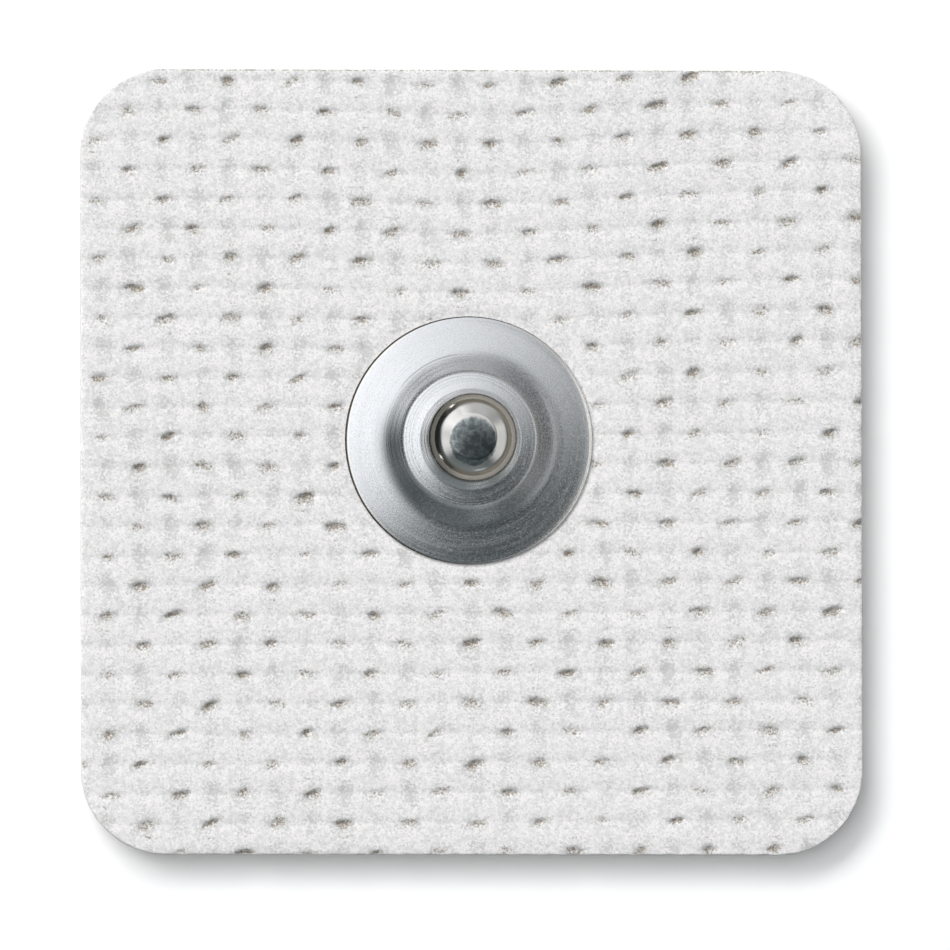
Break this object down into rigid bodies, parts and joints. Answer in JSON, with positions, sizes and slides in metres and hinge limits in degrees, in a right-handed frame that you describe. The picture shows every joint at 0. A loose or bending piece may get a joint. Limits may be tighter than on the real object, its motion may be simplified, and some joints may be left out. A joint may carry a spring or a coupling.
{
  "type": "ecg electrode",
  "caption": "Disposable ECG electrode: square woven cloth tape with rounded corners, steel snap stud on top, sensor eyelet and round gel pad beneath.",
  "frame": {"origin": "middle of the cloth, at the level of the gel's flat face that lies on the skin", "axes": "+Z along the snap, from the skin up to its head; +X along the ridges of the weave; +Y across them"},
  "size_m": [0.035, 0.0352, 0.0048],
  "materials": {
    "white_cloth": "matte woven cloth with fine fibres",
    "adhesive": "tacky translucent coat",
    "stamped_steel": "turned satin flange, polished head",
    "silvered_plastic": "matte silver coat",
    "clear_gel": "wet clear gel"
  },
  "bodies": {
    "root": {"backing_cloth": "white_cloth", "adhesive_film": "adhesive", "snap_stud": "stamped_steel", "sensor_eyelet": "silvered_plastic", "gel_pad": "clear_gel"}
  },
  "joints": []
}
